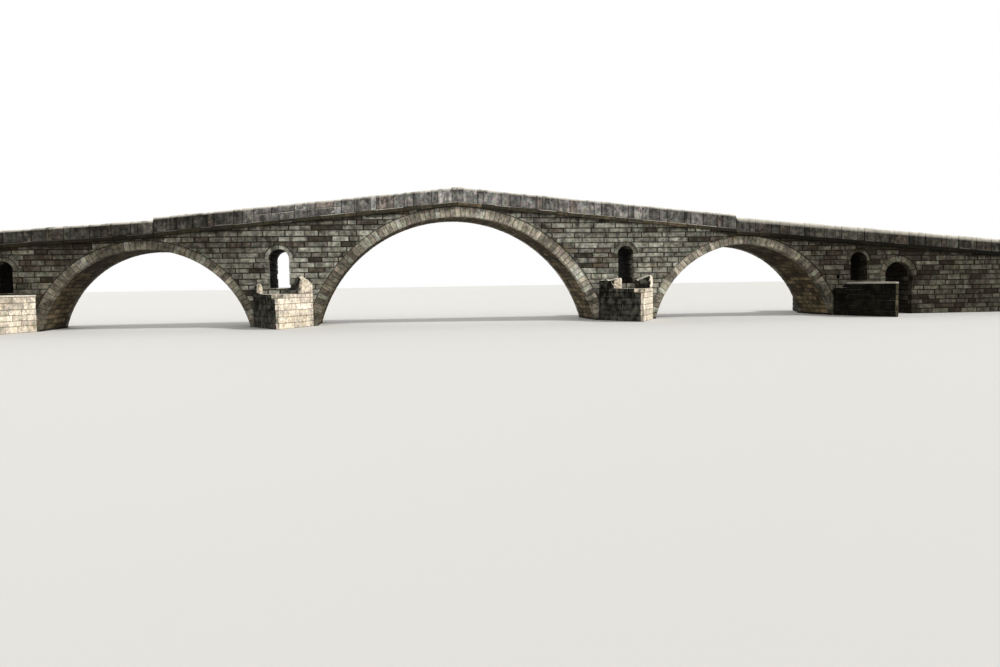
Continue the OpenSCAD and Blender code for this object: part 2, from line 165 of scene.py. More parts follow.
# In stone lengths: the most that the last stone of a course may take, how near a joint may come to
# one in the course below, and how far it then moves on
LAST_STONE, NEAR_JOINT, MOVED_ON = 1.75, 0.2, 0.32
# How far points stray on ashlar, wedge stones, cutwater blocks and slabs
UNEVEN, RING_UNEVEN, BLOCK_UNEVEN, SLAB_UNEVEN = 0.0004, 0.0003, 0.0005, 0.0006
# How far a wedge stone, a slab and a cornice stone may lie behind the next
RING_BACK, SLAB_BACK, CORNICE_BACK = 0.002, 0.0025, 0.003
# Width of the worn edges of slabs and cornice stones
SLAB_WEAR = 0.003
# Angles in degrees between faces that are made one: on plain blocks, on cut blocks, on the curved
# sides of wedge stones, and on the rounded tops of slabs, which become one chamfer
FINE_ANGLE, CUT_ANGLE, WEDGE_ANGLE, SLAB_ANGLE = 0.2, 1.5, 4.0, 12.0
# Edges of stones that turn by more degrees than this are worn
WORN_ANGLE = 35
# Between these a face turns away from the sun: minus the X of its normal
LEE_EDGE = (-0.05, 0.08)


def read(items, name, width=3, kind=float):
    """One property of every point, edge or face of a mesh, with a row for each."""
    values = np.empty(len(items) * width, kind)
    items.foreach_get(name, values)
    return values.reshape(-1, width)


def new_object(name, data):
    """An object of this mesh, camera or light, in the scene."""
    obj = bpy.data.objects.new(name, data)
    bpy.context.scene.collection.objects.link(obj)
    return obj


def mesh_object(name, points, faces):
    """An object made of these points and faces."""
    mesh = bpy.data.meshes.new(name)
    mesh.from_pydata(points.tolist(), [], faces)
    return new_object(name, mesh)


def deselect_all():
    if bpy.context.object and bpy.context.object.mode != "OBJECT":
        bpy.ops.object.mode_set(mode="OBJECT")
    bpy.ops.object.select_all(action="DESELECT")


def make_active(obj):
    deselect_all()
    obj.select_set(True)
    bpy.context.view_layer.objects.active = obj


@contextmanager
def editing(obj):
    """Edit mode on this object alone, with all of it selected."""
    make_active(obj)
    bpy.ops.object.mode_set(mode="EDIT")
    bpy.ops.mesh.select_all(action="SELECT")
    yield
    bpy.ops.object.mode_set(mode="OBJECT")


def apply_modifier(obj, kind, **values):
    """Adds one modifier with its settings and applies it."""
    make_active(obj)
    modifier = obj.modifiers.new(kind.title(), kind)
    for name, value in values.items():
        setattr(modifier, name, value)
    bpy.ops.object.modifier_apply(modifier=modifier.name)


def master_stone(s):
    """A dressed block with worn edges, and toward -Y a rim with a slightly crowned face in it.

    Returns its points, its faces and how dark with dirt and painted shade each point is: 1 on the rim, 0 on
    the face.
    """
    deselect_all()
    bpy.ops.mesh.primitive_cube_add(size=MASTER_SIZE)
    stone = bpy.context.object
    with editing(stone):
        bpy.ops.mesh.bevel(offset=s.wear, segments=1, affect="EDGES")
        mesh = bmesh.from_edit_mesh(stone.data)
        for face in mesh.faces:
            face.select = face.normal.y < -FLAT
        bmesh.update_edit_mesh(stone.data)
        bpy.ops.mesh.inset(thickness=s.rim, depth=s.crown)
    rim = 1.0 - read(stone.data.vertices, "select", 1, bool)[:, 0]
    faces = [list(p.vertices) for p in stone.data.polygons]
    corners = points_of(stone)
    bpy.data.objects.remove(stone)
    return corners, faces, rim


def lay(name, stones, place, s, rng):
    """Copies of the master stone, stretched to each stone's box with their worn edges kept.

    A box is (u0, u1, v0, v1, w0, w1): along the course, up the face, and inward from the face.
    place turns points in those coordinates into points of the bridge.
    """
    corners, faces, rim = master_stone(s)
    side = np.sign(corners)
    points, polygons = [], []
    for k, (u0, u1, v0, v1, w0, w1) in enumerate(stones):
        size = np.array([u1 - u0, w1 - w0, v1 - v0])
        centre = np.array([u0 + u1, w0 + w1, v0 + v1]) / 2
        block = corners + side * (size - MASTER_SIZE) / 2 + centre
        # The corners stray half as far in depth as along the face
        points.append(block + rng.normal(0, UNEVEN, block.shape) * (1, 0.5, 1))
        polygons += [[k * len(corners) + i for i in face] for face in faces]
    obj = mesh_object(name, place(*np.concatenate(points).T), polygons)
    write(obj.data, "rim", "POINT", np.tile(rim, len(stones)))
    return obj


def plain_blocks(name, boxes, place):
    """Exact blocks without worn edges, which are cut to an outline before they are worn."""
    corners = np.array([(x, y, z) for x in (0, 1) for y in (0, 1) for z in (0, 1)])
    faces = np.array([(0, 1, 3, 2), (4, 6, 7, 5), (0, 4, 5, 1), (2, 3, 7, 6), (0, 2, 6, 4), (1, 5, 7, 3)])
    boxes = np.array(boxes)
    low, high = boxes[:, (0, 4, 2)], boxes[:, (1, 5, 3)]
    points = (low[:, None] + corners[None] * (high - low)[:, None]).reshape(-1, 3)
    polygons = (faces[None] + 8 * np.arange(len(boxes))[:, None, None]).reshape(-1, 4)
    return mesh_object(name, place(*points.T), polygons.tolist())


def course_levels(low, high, course_h, rng):
    """Heights of the beds of uneven courses from low to high."""
    n = max(1, round((high - low) / course_h))
    steps = rng.uniform(*COURSE_SPREAD, n)
    return low + np.concatenate([[0], np.cumsum(steps) / steps.sum()]) * (high - low)


def joints_along(start, end, stone_l, rng, below=()):
    """Places of the upright joints of a course, kept off the joints of the course below."""
    joints = [start]
    while end - joints[-1] > LAST_STONE * stone_l:
        step = stone_l * rng.triangular(*STONE_SPREAD)
        near = [j for j in below if abs(j - joints[-1] - step) < NEAR_JOINT * stone_l]
        joints.append(joints[-1] + step + (MOVED_ON * stone_l if near else 0))
    return joints + [end]


def bonded_courses(u0, u1, v0, v1, course_h, stone_l, depth, s, rng):
    """Boxes of a field of ashlar in bonded courses, with joints of uneven width."""
    boxes, below = [], ()
    levels = course_levels(v0, v1, course_h, rng)
    for low, high in zip(levels[:-1], levels[1:]):
        joints = joints_along(u0, u1, stone_l, rng, below)
        for a, b in zip(joints[:-1], joints[1:]):
            # Most upright joints are narrow, and a few gape
            left, right = s.joint / 2 * (0.6 + 2.2 * rng.random(2) ** 3)
            bed = s.joint / 2 * rng.uniform(*BED_SPREAD)
            back = s.crown + rng.uniform(0, s.set_back)
            boxes.append((a + left, b - right, low + bed, high - bed, back, depth))
        below = joints
    return boxes


# Meshes

def stack(*columns):
    return np.stack(np.broadcast_arrays(*columns), axis=1)


def merged_copy(node, flat_angle=FINE_ANGLE):
    """A closed copy of a CAD node's mesh, with faces within this angle in degrees made one."""
    obj = new_object(node + "_copy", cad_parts[node].data.copy())
    obj.data.materials.clear()
    with editing(obj):
        bpy.ops.mesh.remove_doubles(threshold=MERGE)
        bpy.ops.mesh.dissolve_limited(angle_limit=math.radians(flat_angle))
    return obj


def points_of(obj):
    return read(obj.data.vertices, "co")


def move_points(obj, co):
    obj.data.vertices.foreach_set("co", co.ravel())
    obj.data.update()


def write(mesh, name, domain, values):
    """Writes one number for each point or face, which the materials read by name."""
    if name in mesh.attributes:
        mesh.attributes.remove(mesh.attributes[name])
    attribute = mesh.attributes.new(name, "FLOAT", domain)
    attribute.data.foreach_set("value", np.asarray(values, np.float32))


def stone_numbers(obj):
    """For each point, the number of the loose stone that it belongs to."""
    a, b = read(obj.data.edges, "vertices", 2, int).T
    label = np.arange(len(obj.data.vertices))
    while True:
        new = label.copy()
        low = np.minimum(label[a], label[b])
        np.minimum.at(new, a, low)
        np.minimum.at(new, b, low)
        new = new[new]
        if (new == label).all():
            return np.unique(label, return_inverse=True)[1]
        label = new


def stone_boxes(obj):
    """For each point, the low and the high corner of the loose stone that it belongs to."""
    number = stone_numbers(obj)
    low = np.full((number.max() + 1, 3), np.inf)
    high = -low
    np.minimum.at(low, number, points_of(obj))
    np.maximum.at(high, number, points_of(obj))
    return low[number], high[number]


def drop_chips(obj, least):
    """Deletes loose stones that measure less than this in any direction."""
    low, high = stone_boxes(obj)
    chips = np.flatnonzero((high - low).min(axis=1) < least)
    if not len(chips):
        return
    with editing(obj):
        bpy.ops.mesh.select_mode(type="VERT")
        bpy.ops.mesh.select_all(action="DESELECT")
        mesh = bmesh.from_edit_mesh(obj.data)
        mesh.verts.ensure_lookup_table()
        for i in chips:
            mesh.verts[i].select = True
        bmesh.update_edit_mesh(obj.data)
        bpy.ops.mesh.delete(type="VERT")
        bpy.ops.mesh.select_mode(type="FACE")


def mark_stones(obj, rng):
    """Marks what the materials read: each stone's tone, how far a point lies below the bed of the
    cornice and inside the bridge, and how far a face looks up or away from the sun on the right."""
    number = stone_numbers(obj)
    write(obj.data, "tone", "POINT", rng.random(number.max() + 1)[number])
    co = points_of(obj)
    write(obj.data, "drop", "POINT", bed_height(co[:, 0]) - co[:, 2])
    normals = read(obj.data.polygons, "normal")
    write(obj.data, "sky", "FACE", normals[:, 2])
    write(obj.data, "lee", "FACE", -normals[:, 0])
    behind = np.minimum(WALL_Y - np.abs(co[:, 1]), END_X - np.abs(co[:, 0]))
    write(obj.data, "inner", "POINT", behind)


def keep_inside(obj, node):
    """Keeps worn and uneven points inside the box of the CAD node."""
    low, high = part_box(node)
    move_points(obj, np.clip(points_of(obj), low, high))


def keep_in_form(obj, form):
    """Brings points that wear has pushed out of a closed form back onto its surface."""
    make_active(form)
    tree = BVHTree.FromObject(form, bpy.context.evaluated_depsgraph_get())
    co = points_of(obj)
    for i, point in enumerate(co):
        nearest, normal, _, _ = tree.find_nearest(Vector(point))
        if (Vector(point) - nearest).dot(normal) > 0:
            co[i] = nearest
    move_points(obj, co)


def line_through(node, low_x, high_x):
    """Slope and height of the underside of a run, from its own corners near these places."""
    co = points_of(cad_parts[node])
    ends = [co[np.abs(np.abs(co[:, 0]) - x) < 4 * TINY][:, 2].min() for x in (low_x, high_x)]
    slope = (ends[1] - ends[0]) / (high_x - low_x)
    return slope, ends[0] - slope * low_x


STEP_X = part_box("cornice_hump")[1].x
HUMP_LINE = line_through("road_hump", 0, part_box("road_hump")[1].x)
RAMP_LINES = [
    line_through(f"road_{side}_ramp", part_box("road_right_ramp")[0].x, END_X) for side in ("left", "right")
]


def bed_height(x):
    """Height of the bed under the cornice and the road at this place along the bridge."""
    far = np.abs(x)
    hump, left, right = (slope * far + top for slope, top in (HUMP_LINE, *RAMP_LINES))
    return np.where(far < STEP_X, hump, np.where(np.asarray(x) < 0, left, right))


def finish_piece(obj, node, ending, slot, *materials):
    """Names the piece, which says which CAD node it stands for, and gives it its materials; slot is not used.
    """
    obj.name = obj.data.name = f"{node}_{ending}"
    obj.data.materials.clear()
    for material in materials:
        obj.data.materials.append(material)
    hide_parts(node)
    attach(obj, "root")


def seeded(nodes, s, first):
    """Each node with random numbers of its own, whose seeds start here."""
    return [(node, np.random.default_rng(s.seed + first + k)) for k, node in enumerate(nodes)]


def join(first, *others):
    """Joins the others into the first, whose faces come first."""
    for other in others:
        other.data.materials.clear()
    make_active(first)
    for other in others:
        other.select_set(True)
    bpy.ops.object.join()
    return first


def bed_in_mortar(stones, core):
    """Joins the stones with the core between and behind them, which takes the second material."""
    count = len(stones.data.polygons)
    join(stones, core)
    of_core = np.arange(len(stones.data.polygons)) >= count
    stones.data.polygons.foreach_set("material_index", of_core.astype(int))
    return stones


# Materials

# Waves in a metre, levels of detail and roughness of each noise. Mottling is about 20 mm across and
# clouds 50 mm, a hand and an arm on the real bridge. Stains and rain get their scale with the place.
NOISES = {
    "grain": (260.0, 3.0, 0.7), "crumbs": (120.0, 5.0, 0.7), "mottle": (52.0, 6.0, 0.65),
    "clouds": (21.0, 5.0, 0.6), "stains": (1.0, 7.0, 0.68), "rain": (1.0, 5.0, 0.6),
}
# How a colour goes over another: it covers it, or tints it
COVER = {"data_type": "RGBA"}
TINT = {"data_type": "RGBA", "blend_type": "MULTIPLY"}
# Narrow and wide rain streaks: waves in a metre across and down, and the noise that they start at
STREAKS = ((46.0, 4.0, 0.47), (15.0, 2.0, 0.52))
# How far below the cornice the streaks have faded
STREAK_L = 0.30
# Heights: from the first to the second, damp grows at the foot, the crust there is washed grey, and
# a vault's crown is high enough for more daylight
FOOT_Z, WASHED_Z, TALL_Z = (0.26, 0.02), (0.20, 0.06), (0.45, 0.7)
# Depths below the top over which the crest of a parapet grows bright
CREST_D = (0.017, 0.004)
# Depths inside an opening over which it gets dark: just inside, and deep in it
NEAR_D, DEEP_D = (0.02, 0.05), (0.04, 0.16)


def add(tree, kind, *inputs, output=None, **values):
    """Adds a shader node and returns its first output, or the output of this name.

    inputs go to its sockets in their order, and values to the settings and sockets of their names,
    with _ for spaces. A socket takes a number, a vector, a colour, or an output to be linked.
    """
    node = tree.nodes.new("ShaderNode" + kind)
    for name in [name for name in values if hasattr(node, name)]:
        setattr(node, name, values.pop(name))
    fed = list(zip([socket for socket in node.inputs if not socket.is_unavailable], inputs))
    fed += [(node.inputs[name.replace("_", " ")], value) for name, value in values.items()]
    for socket, value in fed:
        if isinstance(value, bpy.types.NodeSocket):
            tree.links.new(value, socket)
        elif isinstance(value, (int, float)):
            socket.default_value = value
        else:
            socket.default_value = (*value, 1)[:len(socket.default_value)]
    outputs = [socket for socket in node.outputs if not socket.is_unavailable]
    return node.outputs[output] if output else next(iter(outputs), None)


def new_material(name):
    material = bpy.data.materials.new(name)
    material.use_nodes = True
    material.node_tree.nodes.clear()
    return material, material.node_tree


def clean_stone(tree, tone, mottle, clouds, beds, cloud):
    """The colour of clean limestone, with every stone from one of the beds of the quarry."""
    colours = bpy.context.scene.bridge_colours
    colour = add(tree, "ValToRGB", tone)
    ramp = colour.node.color_ramp
    ramp.interpolation = "CONSTANT"
    while len(ramp.elements) < len(beds):
        ramp.elements.new(0.5)
    start = 0.0
    for element, (share, stone, brightness) in zip(ramp.elements, beds):
        element.position = start
        element.color = (*(min(1.0, v * brightness) for v in getattr(colours, stone)), 1)
        start += share
    fine = add(tree, "MapRange", mottle, 0.34, 0.66, 0.6, 1.42)
    coarse = add(tree, "MapRange", clouds, 0.36, 0.64, 1.0 - 0.42 * cloud, 1.0 + 0.36 * cloud)
    blotchy = add(tree, "Math", fine, coarse, operation="MULTIPLY")
    colour = add(tree, "Mix", 1.0, colour, blotchy, **TINT)
    # Pink, ochre, green and blue tinges in the same mottling
    tinges = mottle.node.outputs["Color"]
    return add(tree, "Mix", 0.4, colour, tinges, data_type="RGBA", blend_type="OVERLAY")


def black_stains(tree, tone, broad, drop, ends, stain, soot_and_shade):
    """Where black stains lie: on some stones more than on others, and most of all toward the shaded,
    damp ends and right below the cornice, where they paint its shadow.
    """
    own = add(tree, "Math", add(tree, "Math", tone, 7.3, operation="MULTIPLY"), operation="FRACT")
    hold = add(tree, "Math", own, 0.16, operation="MULTIPLY")
    hold = add(tree, "Math", broad, hold)
    # Stains and painted shadow gather right below the cornice
    hold = add(tree, "Math", hold, add(tree, "MapRange", drop, soot_and_shade[0], soot_and_shade[1], 0.0, soot_and_shade[2]))
    hold = add(tree, "Math", hold, add(tree, "Math", ends, 0.05, operation="MULTIPLY"))
    return add(tree, "MapRange", hold, 0.80 - stain[1], 0.90 - stain[1], 0.0, stain[0])


def lee_crust(tree, colour, away, edge, height, mottle, clouds, lee):
    """A black crust with painted shade over what faces away from the sun, washed grey in clouds and low down.
    """
    c = bpy.context.scene.bridge_colours
    greyer = add(tree, "MapRange", clouds, 0.42, 0.64, -0.1, 0.9)
    greyer = add(tree, "Math", greyer, add(tree, "MapRange", height, *WASHED_Z, 0.0, 0.3))
    dirt_and_shade = add(tree, "Math", edge, 0.4, operation="MULTIPLY")
    greyer = add(tree, "Math", greyer, dirt_and_shade, operation="SUBTRACT")
    greyer = add(tree, "Math", greyer, 0.0, operation="MAXIMUM")
    crust = add(tree, "Mix", greyer, c.soot_and_shade, c.grey_crust, **COVER)
    ragged = add(tree, "MapRange", mottle, 0.34, 0.5, 0.95, 1.0)
    crust_and_shade = add(tree, "MapRange", away, *LEE_EDGE, 0.0, lee)
    crust_and_shade = add(tree, "Math", crust_and_shade, ragged, operation="MULTIPLY")
    return add(tree, "Mix", crust_and_shade, colour, crust, **COVER)


def sunny_crest(tree, along, clouds, crest):
    """How much sun the rounded tops of a parapet catch.

    They catch it in patches, and deeper and nearly all along past the right step.
    """
    past_step = add(tree, "MapRange", along, STEP_X, STEP_X + 0.02, 0.0, 1.0)
    below = add(tree, "Attribute", attribute_name="crest", output="Fac")
    below = add(tree, "Math", below, add(tree, "Math", past_step, 1.0), operation="DIVIDE")
    patches = add(tree, "MapRange", clouds, 0.36, 0.5, 0.25, 1.0)
    all_along = add(tree, "Math", past_step, 0.85, operation="MULTIPLY")
    patches = add(tree, "Math", all_along, patches, operation="MAXIMUM")
    bright = add(tree, "MapRange", below, *CREST_D, 0.0, crest)
    return add(tree, "Math", bright, patches, operation="MULTIPLY")


def lost_daylight(tree, inner, upward, height, hidden, crown):
    """How little daylight reaches into the openings, or the crown of a vault that isn't tall."""
    dark = add(tree, "MapRange", inner, *NEAR_D, 0.0, hidden[0])
    dark = add(tree, "Math", dark, add(tree, "MapRange", inner, *DEEP_D, *hidden), operation="MAXIMUM")
    overhead = add(tree, "MapRange", upward, -0.35, -0.85, 0.0, 1.0 - crown)
    low = add(tree, "MapRange", height, *TALL_Z, 1.0, 0.6)
    overhead = add(tree, "Math", overhead, low, operation="MULTIPLY")
    return add(tree, "Math", dark, overhead, operation="MAXIMUM")


def stone_material(name, beds, stain, patch, left, right, foot=0.0, streak=0.2, moss=0.2, rim=0.6, cloud=1.0,
                   soot_and_shade=(0.035, 0.0, 0.2), lee=0.0, sky=(0.8, 0.2), crest=0.0, sheltered=0.0,
                   hidden=(0.0, 0.0), crown=1.0):
    """Weathered limestone, each stone from another bed of the quarry, with dirt that runs down.

    beds gives (share, colour, brightness) of the beds. stain is how black the stains get and how much
    they cover, patch the number of stains in a metre across and up, streak and moss how strong the
    rain streaks and the moss are, rim how dark the edges along the joints, and cloud how blotchy a
    stone is. left and right give (start, end, strength) of the painted shade and damp toward the
    bridge's ends, and foot the strength of the damp low down. soot gives (start, end, amount) of the
    stains and painted shadow that gather below the cornice. lee is how far a black crust with painted
    shade covers what faces away from the sun. sky gives how far up a face looks before it bleaches
    and takes painted sunlight, and how strongly, crest how strongly the top of a parapet does, and
    sheltered how much less toward the shaded, damp ends. hidden is how dark the painted shade gets
    just inside an opening and deep in it, and crown how bright the crown of a vault stays.
    """
    c = bpy.context.scene.bridge_colours
    material, tree = new_material(name)
    where = add(tree, "TexCoord", output="Object")
    axes = add(tree, "SeparateXYZ", where).node
    along, height = axes.outputs["X"], axes.outputs["Z"]
    tone, edge, drop, away, upward, inner = (
        add(tree, "Attribute", attribute_name=mark, output="Fac")
        for mark in ("tone", "rim", "drop", "lee", "sky", "inner")
    )
    mottle = add(tree, "TexNoise", where, *NOISES["mottle"])
    clouds = add(tree, "TexNoise", where, *NOISES["clouds"])
    colour = clean_stone(tree, tone, mottle, clouds, beds, cloud)
    # Painted shade and damp at both ends of the bridge, and damp at the foot of its walls
    at_foot = add(tree, "MapRange", height, *FOOT_Z, 0.0, foot)
    at_left, at_right = (
        add(tree, "MapRange", along, near, far, 0.0, strength) for near, far, strength in (left, right)
    )
    ends = add(tree, "Math", at_left, at_right, operation="MAXIMUM")
    # Ochre washed out of the joints tints the clean stone in broad patches
    patches = add(tree, "Mapping", where, Scale=(patch[0], patch[0], patch[1]))
    broad = add(tree, "TexNoise", patches, *NOISES["stains"])
    washed = add(tree, "MapRange", broad, 0.42, 0.30, 0.0, 0.8)
    colour = add(tree, "Mix", washed, colour, c.wash, **TINT)
    stained = black_stains(tree, tone, broad, drop, ends, stain, soot_and_shade)
    colour = add(tree, "Mix", stained, colour, c.crust, **COVER)
    # Rain streaks start at the cornice and fade on the way down
    reach = add(tree, "MapRange", drop, STREAK_L, 0.0, streak * 0.3, streak)
    for across, down, least in STREAKS:
        runs = add(tree, "Mapping", where, Scale=(across, across, down))
        streaked = add(tree, "MapRange", add(tree, "TexNoise", runs, *NOISES["rain"]), least, 0.68, 0.0, 1.0)
        streaked = add(tree, "Math", streaked, reach, operation="MULTIPLY")
        colour = add(tree, "Mix", streaked, colour, c.crust, **COVER)
    mossy = add(tree, "MapRange", broad, 0.46, 0.34, 0.0, moss)
    colour = add(tree, "Mix", mossy, colour, c.moss, **COVER)
    # Soil and shade along the edges of each stone, deep in some places and shallow in others
    dirt_and_shade = add(tree, "MapRange", clouds, 0.38, 0.6, 0.35 * rim, rim)
    dirt_and_shade = add(tree, "Math", edge, dirt_and_shade, operation="MULTIPLY")
    colour = add(tree, "Mix", dirt_and_shade, colour, c.mortar, **COVER)
    if lee:
        colour = lee_crust(tree, colour, away, edge, height, mottle, clouds, lee)
    damp = add(tree, "Math", ends, at_foot, operation="MAXIMUM")
    colour = add(tree, "Mix", damp, colour, c.damp, **TINT)
    # The sky bleaches what looks up, and lichen grows there, with painted sunlight on it
    bleached_and_sunlit = add(tree, "MapRange", upward, sky[0], sky[0] + 0.3, 0.0, sky[1])
    dry_and_unshaded = add(tree, "Math", ends, sheltered, operation="MULTIPLY")
    dry_and_unshaded = add(tree, "Math", 1.0, dry_and_unshaded, operation="SUBTRACT")
    bleached_and_sunlit = add(tree, "Math", bleached_and_sunlit, dry_and_unshaded, operation="MULTIPLY")
    uneven = add(tree, "MapRange", mottle, 0.35, 0.6, 0.7, 1.0)
    bleached_and_sunlit = add(tree, "Math", bleached_and_sunlit, uneven, operation="MULTIPLY")
    if crest:
        sunny = sunny_crest(tree, along, clouds, crest)
        bleached_and_sunlit = add(tree, "Math", bleached_and_sunlit, sunny, operation="MAXIMUM")
    colour = add(tree, "Mix", bleached_and_sunlit, colour, c.lichen, **COVER)
    # Painted shade inside the openings and under the vaults
    dark = lost_daylight(tree, inner, upward, height, hidden, crown)
    colour = add(tree, "Mix", dark, colour, c.shade, **COVER)
    # Fine grain of the tooled face, drawn coarse enough to show
    grain = add(tree, "TexNoise", where, *NOISES["grain"])
    bump = add(tree, "Bump", Height=grain, Strength=0.5, Distance=0.0015)
    rough = add(tree, "Bump", Height=mottle, Normal=bump, Strength=0.6, Distance=0.003)
    add(tree, "OutputMaterial", add(
        tree, "BsdfPrincipled", Base_Color=colour, Normal=rough, Roughness=0.92, Specular_IOR_Level=0.1
    ))
    return material


def old_lime_mortar(name, sunlit):
    """Old lime mortar, dark with soil and shade, and in this colour as painted sunlight on faces toward the
    sun.
    """
    c = bpy.context.scene.bridge_colours
    material, tree = new_material(name)
    crumbs = add(tree, "TexNoise", add(tree, "TexCoord", output="Object"), *NOISES["crumbs"])
    away = add(tree, "Attribute", attribute_name="lee", output="Fac")
    dirt_and_shade = add(tree, "MapRange", away, *LEE_EDGE, 0.0, 1.0)
    colour = add(tree, "Mix", dirt_and_shade, sunlit, c.mortar, **COVER)
    crumbled = add(tree, "MapRange", crumbs, 0.3, 0.7, 0.6, 1.4)
    colour = add(tree, "Mix", 1.0, colour, crumbled, **TINT)
    bump = add(tree, "Bump", Height=crumbs, Strength=0.6, Distance=0.003)
    add(tree, "OutputMaterial", add(tree, "BsdfPrincipled", Base_Color=colour, Normal=bump, Roughness=0.95))
    return material


# Each kind of stone: its beds as (share, colour, brightness), and how it has weathered
STONES = {
    # Grey limestone laid in thin mortar: mostly grey, with lighter, darker and warm stones, and painted
    # shade inside the windows
    "limestone_ashlar": dict(
        beds=((0.06, "ashlar_dark", 1.0), (0.18, "ashlar", 0.62), (0.25, "ashlar", 0.84),
              (0.08, "ashlar_warm", 1.0), (0.27, "ashlar", 1.0), (0.16, "ashlar", 1.32)),
        stain=(0.8, 0.15), patch=(5.5, 5.5), streak=0.5, rim=0.9, cloud=1.3,
        left=(-1.25, -1.7, 0.57), right=(1.9, 2.4, 0.73), foot=0.35, hidden=(0.6, 0.95),
    ),
    # Beige limestone cut to wedges, cleaner than the walls, with every stone its own shade
    "limestone_voussoir": dict(
        beds=((0.17, "ring", 0.5), (0.12, "ashlar_warm", 1.0), (0.20, "ring", 0.72),
              (0.25, "ring", 0.95), (0.14, "ashlar", 0.8), (0.12, "ring", 1.25)),
        stain=(0.6, 0.12), patch=(7.0, 7.0), streak=0.35, moss=0.15, rim=0.5,
        left=(-0.45, -0.75, 0.58), right=(1.8, 2.8, 0.75), foot=0.3,
    ),
    # Brown stone under the arches, damp and never bleached by the sun, with painted shade overhead
    "damp_vault_limestone": dict(
        beds=((0.25, "soffit", 0.4), (0.25, "soffit", 0.75), (0.3, "soffit", 1.0), (0.2, "soffit", 1.5)),
        stain=(0.75, 0.2), patch=(5.0, 5.0), moss=0.35, rim=0.7,
        left=(-2.9, -3.05, 0.95), right=(2.9, 3.05, 0.95), foot=0.2, crown=0.22,
    ),
    # Stone of the projecting course, black where rain runs over it, and bleached with painted sunlight on its
    # edge
    "stained_cornice_limestone": dict(
        beds=((0.3, "cornice", 0.45), (0.28, "cornice", 0.8), (0.27, "cornice", 1.1), (0.15, "cornice", 1.7)),
        stain=(0.8, 0.2), patch=(7.0, 16.0), streak=0.4, moss=0.6, rim=0.4,
        left=(-1.0, -2.1, 0.85), right=(1.8, 2.4, 1.0), sky=(0.3, 0.75), sheltered=1.0,
    ),
    # Big slabs, blue-grey and pinkish, blotched with black lichen, and bleached with painted sunlight along
    # the top
    "lichened_parapet_limestone": dict(
        beds=((0.16, "parapet", 0.55), (0.24, "parapet", 0.8), (0.3, "parapet", 1.0),
              (0.12, "parapet_warm", 1.0), (0.18, "parapet", 1.35)),
        stain=(0.75, 0.12), patch=(36.0, 18.0), streak=0.6, moss=0.1, rim=0.5, cloud=1.3,
        left=(-1.1, -1.6, 0.8), right=(1.2, 2.4, 0.84), soot_and_shade=(-0.05, -0.11, 0.1),
        sky=(0.1, 0.45), crest=0.9,
    ),
    # Cream limestone, bright on its sunny flank, and under a black crust with painted shade on the other
    "cream_cutwater_limestone": dict(
        beds=((0.2, "cutwater", 0.75), (0.3, "cutwater", 0.9), (0.3, "cutwater", 1.0),
              (0.2, "cutwater", 1.15)),
        stain=(0.3, 0.1), patch=(8.0, 8.0), cloud=0.6, rim=0.15,
        left=(-2.4, -3.4, 0.3), right=(2.0, 2.6, 0.95), lee=1.0, sky=(0.8, 1.0),
    ),
    # Paving worn pale and smooth
    "trodden_limestone_paving": dict(
        beds=((0.25, "paving", 0.7), (0.25, "paving", 0.88), (0.3, "paving", 1.0), (0.2, "paving", 1.2)),
        stain=(0.3, 0.1), patch=(5.0, 5.0), streak=0.0, moss=0.3,
        left=(-2.0, -3.0, 0.2), right=(2.0, 3.0, 0.3), soot_and_shade=(-0.01, -0.04, 0.0), sky=(0.6, 0.15),
    ),
}


def weathered(name):
    """The material of one kind of stone."""
    return stone_material(name, **STONES[name])


# The pieces

# Least height of an opening's side that is lined, and of a window's sill over the base
TALL, SILL_LEAST = 0.03, 0.1
# How far a vault's stones reach toward its back, as a share of its thickness
VAULT_SHARE = 0.7
# A coping is thinner than this
COPING_MOST = 0.05
# Share of a cutwater's length that a nose stone takes
NOSE_SPREAD = (0.12, 0.2)
# Broken masonry: waves in a metre and strength of its lumps, the level that stays, and the depth of
# the dents in facets, as shares of the noise
LUMPS = ((16, 1.6), (45, 1.0), (110, 0.5))
LUMP_LEVEL, DENT = 0.4, 1.6
# Share of its facets that are kept, how ragged its crust and painted shade end as waves in a metre
# and strength, how much more readily it bleaches and takes painted sunlight than a plain face, and how
# soiled it is
KEPT, RAGGED, READILY, SOILED = 0.4, (70, 0.25), 1.3, 0.5


def front(u, w, v):
    return stack(u, -WALL_Y + w, v)


def back(u, w, v):
    return stack(-u, WALL_Y - w, v)


def facing_left(x):
    """Where stones are laid on an upright face at x that looks toward -X."""
    return lambda u, w, v: stack(x + w, -u, v)


def facing_right(x):
    return lambda u, w, v: stack(x - w, u, v)


def round_vault(centre_x, centre_z, radius):
    """Where stones are laid on the inside of a vault, with u running round its curve."""
    def place(u, w, v):
        angle, r = u / radius, radius + w
        return stack(centre_x + r * np.sin(angle), -v, centre_z + r * np.cos(angle))
    return place


def vault_boxes(radius, half_angle, y0, y1, depth, s, rng):
    """Boxes of bonded courses that run along a vault, with an odd number of courses."""
    n = 2 * int(half_angle * radius / s.vault_course) + 1
    edges = np.linspace(-half_angle * radius, half_angle * radius, n + 1)
    boxes, below = [], ()
    # Narrower than the joints of the walls, because no rain gets at them
    gap = s.joint / 3
    for a, b in zip(edges[:-1], edges[1:]):
        joints = joints_along(y0, y1, s.vault_l, rng, below)
        for low, high in zip(joints[:-1], joints[1:]):
            boxes.append((a + gap, b - gap, low + gap, high - gap, rng.uniform(0, s.set_back), depth))
        below = joints
    return boxes


def window_of(ring):
    """Centre, springing height and half width of a window, from the stones round its head."""
    low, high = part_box(ring)
    centre_x = (low.x + high.x) / 2
    co = points_of(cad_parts[ring])
    return centre_x, low.z, np.hypot(co[:, 0] - centre_x, co[:, 2] - low.z).min()


